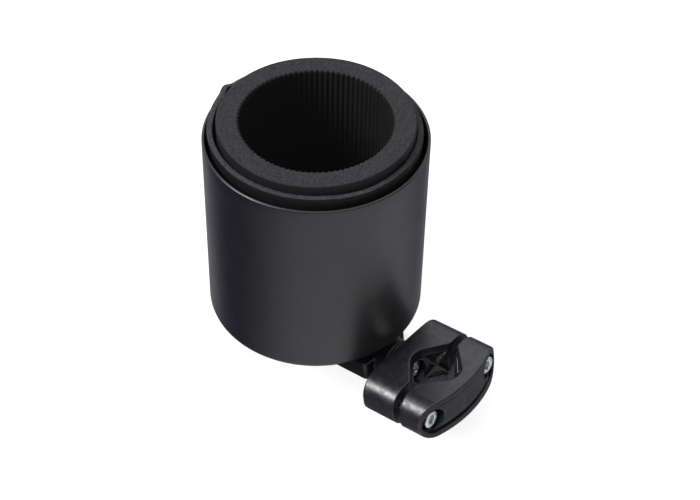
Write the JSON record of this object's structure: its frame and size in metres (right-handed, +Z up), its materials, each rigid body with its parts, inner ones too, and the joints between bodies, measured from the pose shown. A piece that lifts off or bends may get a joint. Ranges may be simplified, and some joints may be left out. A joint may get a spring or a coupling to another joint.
{
  "type": "tube clamp cup holder",
  "caption": "Round padded cup holder on a tilting, swivelling arm that ends in a two-jaw screw clamp with a V-shaped throat for a round tube.",
  "frame": {"origin": "centre of the clamp's throat, midway between the two jaws and halfway up them", "axes": "+Z up along the cup's axis; +X away from the cup, in the plane through the cup's axis and the throat; +Y along the jaws. The throat's own axis leans 7.5 degrees from +Z towards the cup, as in the picture."},
  "size_m": [0.1404, 0.098, 0.1336],
  "materials": {
    "cup_coat": "satin",
    "neoprene": "matte",
    "foam": "matte",
    "jaw_plastic": "satin",
    "nylon": "matte",
    "zinc": "satin"
  },
  "bodies": {
    "clamp": {"rear_jaw": "jaw_plastic", "jaw_nut_near": "zinc", "jaw_nut_far": "zinc"},
    "front_jaw": {"front_jaw": "jaw_plastic", "jaw_washer_near": "zinc", "jaw_washer_far": "zinc"},
    "screw_near": {"jaw_screw_near": "zinc"},
    "screw_far": {"jaw_screw_far": "zinc"},
    "arm": {"arm": "jaw_plastic", "pivot_bolt": "zinc", "pivot_nut": "zinc", "swivel_washer": "nylon"},
    "fork": {"fork_bracket": "jaw_plastic", "tilt_bolt": "zinc", "tilt_washer_head": "zinc", "tilt_washer_nut": "zinc", "tilt_nut": "zinc", "cup_screw": "zinc", "cup_nut": "zinc", "turn_washer": "nylon"},
    "cup": {"cup_shell": "cup_coat", "base_pad": "foam", "cup_washer": "zinc"},
    "sleeve": {"neoprene_sleeve": "neoprene"},
    "insert": {"foam_insert": "foam"}
  },
  "joints": [
    {"name": "jaw_slide", "type": "slide", "parent": "clamp", "child": "front_jaw", "axis": [0.9914, 0, 0.1305], "range_m": [-0.0031, 0.0035]},
    {"name": "jaw_screw_near_turn", "type": "hinge", "parent": "front_jaw", "child": "screw_near", "pos_m": [0, -0.0208, 0], "axis": [0.9914, 0, 0.1305], "range_deg": [-1400, 1580]},
    {"name": "jaw_screw_far_turn", "type": "hinge", "parent": "front_jaw", "child": "screw_far", "pos_m": [0, 0.0208, 0], "axis": [0.9914, 0, 0.1305], "range_deg": [-1400, 1580]},
    {"name": "clamp_swivel", "type": "hinge", "parent": "clamp", "child": "arm", "pos_m": [0, 0, 0], "axis": [0.9914, 0, 0.1305], "range_deg": [-35, 35]},
    {"name": "arm_tilt", "type": "hinge", "parent": "arm", "child": "fork", "pos_m": [-0.0707, 0, -0.0093], "axis": [0, 1, 0], "range_deg": [-37.5, 0]},
    {"name": "cup_turn", "type": "hinge", "parent": "fork", "child": "cup", "pos_m": [-0.0707, 0, 0], "axis": [0, 0, 1], "continuous": true},
    {"name": "sleeve_lift", "type": "slide", "parent": "cup", "child": "sleeve", "axis": [0, 0, 1], "range_m": [0, 0.1]},
    {"name": "insert_lift", "type": "slide", "parent": "sleeve", "child": "insert", "axis": [0, 0, 1], "range_m": [0, 0.105]}
  ],
  "couplings": [
    {"joint": "jaw_screw_near_turn", "follows": "jaw_slide", "rad_per_m": 7854},
    {"joint": "jaw_screw_far_turn", "follows": "jaw_slide", "rad_per_m": 7854}
  ]
}
